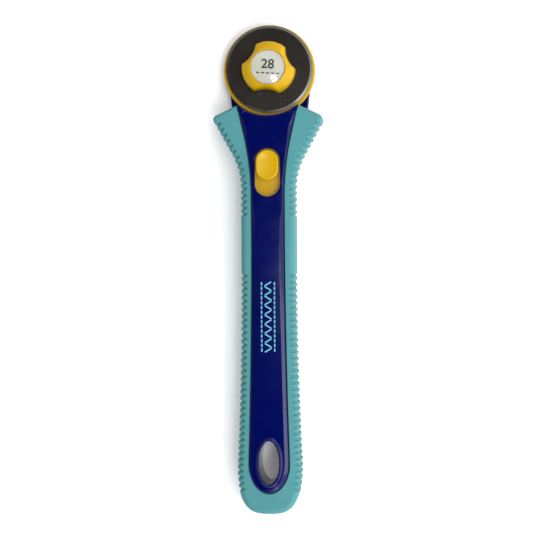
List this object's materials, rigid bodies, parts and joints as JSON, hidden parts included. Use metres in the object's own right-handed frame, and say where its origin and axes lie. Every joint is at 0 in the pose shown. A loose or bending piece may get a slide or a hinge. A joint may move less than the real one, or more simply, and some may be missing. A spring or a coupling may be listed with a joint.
{
  "type": "rotary cutter",
  "caption": "Small rotary fabric cutter: round steel blade on a three-lobed clamp knob, sliding guard worked by a thumb button, straight handle with a flared soft grip and a hanging hole.",
  "frame": {"origin": "centre of the cutter's length and width, at the level of the flat back that it lies on", "axes": "+Y along the handle from the tail to the blade, +Z out of the front face, +X to the right seen from the front; x = 0 is the mirror plane"},
  "size_m": [0.0348, 0.1568, 0.0168],
  "materials": {
    "shell": "gloss dark blue",
    "grip": "matte teal soft rubber",
    "yellow": "satin yellow plastic",
    "steel": "plain steel",
    "blade_steel": "dark ground tool steel with a bright bevel",
    "brass": "plain brass",
    "label": "pale grey printed label",
    "clear": "clear domed resin"
  },
  "bodies": {
    "handle": {"back_shell": "shell", "front_shell": "shell", "soft_grip": "grip", "detent_spring_left": "steel", "detent_spring_right": "steel", "blade_bolt": "steel", "blade_hub": "steel", "head_screw_left": "steel", "head_screw_right": "steel", "middle_screw": "steel", "tail_screw": "steel"},
    "guard": {"blade_guard": "yellow", "slide_button": "yellow", "button_screw": "steel"},
    "blade": {"blade": "blade_steel"},
    "washer": {"spring_washer": "steel"},
    "knob": {"knob": "yellow", "knob_insert": "brass", "label_disc": "label", "label_dome": "clear"}
  },
  "joints": [
    {"name": "guard_slide", "type": "slide", "parent": "handle", "child": "guard", "axis": [0, -1, 0], "range_m": [0, 0.005], "deforming": ["detent_spring_left", "detent_spring_right"]},
    {"name": "blade_spin", "type": "hinge", "parent": "handle", "child": "blade", "pos_m": [0, 0.06405, 0.0048], "axis": [0, 0, 1], "continuous": true},
    {"name": "knob_lift", "type": "slide", "parent": "handle", "child": "washer", "axis": [0, 0, 1], "range_m": [0, 0.0032]},
    {"name": "knob_turn", "type": "hinge", "parent": "washer", "child": "knob", "pos_m": [0, 0.06405, 0.0048], "axis": [0, 0, 1], "range_deg": [0, 1440]}
  ],
  "couplings": [
    {"joint": "knob_turn", "follows": "knob_lift", "rad_per_m": 7853.9}
  ]
}
